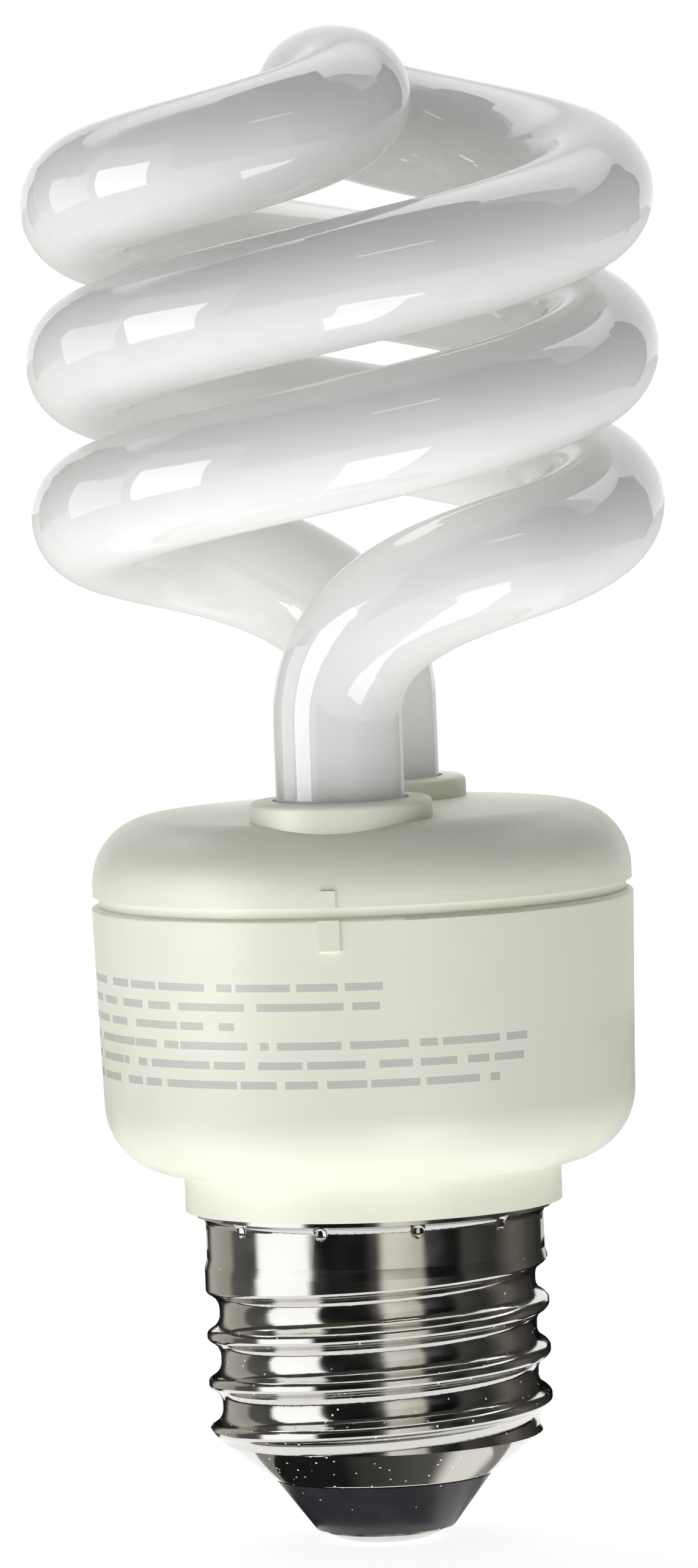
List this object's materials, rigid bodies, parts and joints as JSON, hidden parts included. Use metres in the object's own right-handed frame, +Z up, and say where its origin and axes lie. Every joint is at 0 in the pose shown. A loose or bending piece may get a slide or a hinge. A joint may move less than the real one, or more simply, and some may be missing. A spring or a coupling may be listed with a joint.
{
  "type": "spiral energy saving bulb",
  "caption": "Compact fluorescent lamp: a white double spiral glass tube on a round plastic ballast housing with a screw cap.",
  "frame": {"origin": "centre of the flat at the tip of the centre contact", "axes": "+Z up the lamp's axis from the contact to the crest of the spiral; the tube's two legs stand on the Y axis, the first at -Y"},
  "size_m": [0.048, 0.048, 0.1155],
  "materials": {
    "black_glass": "glossy",
    "black_moulding": "satin",
    "black_sleeve": "satin",
    "board_laminate": "satin",
    "bobbin_nylon": "satin",
    "can_sleeve": "glossy",
    "case_plastic": "satin",
    "enamelled_wire": "glossy",
    "ferrite": "matt",
    "phosphor_glass": "glossy white",
    "plated_cap": "bright",
    "red_dip": "glossy",
    "resistor_lacquer": "satin",
    "soldered_contact": "bright",
    "tinned_wire": "bright",
    "white_cement": "matt"
  },
  "bodies": {
    "root": {"base_insulator": "black_glass", "centre_contact": "soldered_contact", "choke_bobbin": "bobbin_nylon", "choke_core": "ferrite", "choke_winding": "enamelled_wire", "circuit_board": "board_laminate", "coupling_capacitor": "red_dip", "discharge_tube": "phosphor_glass", "drive_ring": "ferrite", "drive_winding_1": "enamelled_wire", "drive_winding_2": "enamelled_wire", "drive_winding_3": "enamelled_wire", "filament_lead_back_left": "tinned_wire", "filament_lead_back_right": "tinned_wire", "filament_lead_front_left": "tinned_wire", "filament_lead_front_right": "tinned_wire", "filament_pin_back_left": "tinned_wire", "filament_pin_back_right": "tinned_wire", "filament_pin_front_left": "tinned_wire", "filament_pin_front_right": "tinned_wire", "fusible_resistor": "resistor_lacquer", "housing_cup": "case_plastic", "neutral_wire": "tinned_wire", "rectifier_diode_1": "black_moulding", "rectifier_diode_2": "black_moulding", "rectifier_diode_3": "black_moulding", "rectifier_diode_4": "black_moulding", "resistor_sleeve": "black_sleeve", "resonant_capacitor": "red_dip", "screw_shell": "plated_cap", "smoothing_capacitor": "can_sleeve", "top_cover": "case_plastic", "transistor_high_side": "black_moulding", "transistor_low_side": "black_moulding", "tube_cement_back": "white_cement", "tube_cement_front": "white_cement"}
  },
  "joints": []
}
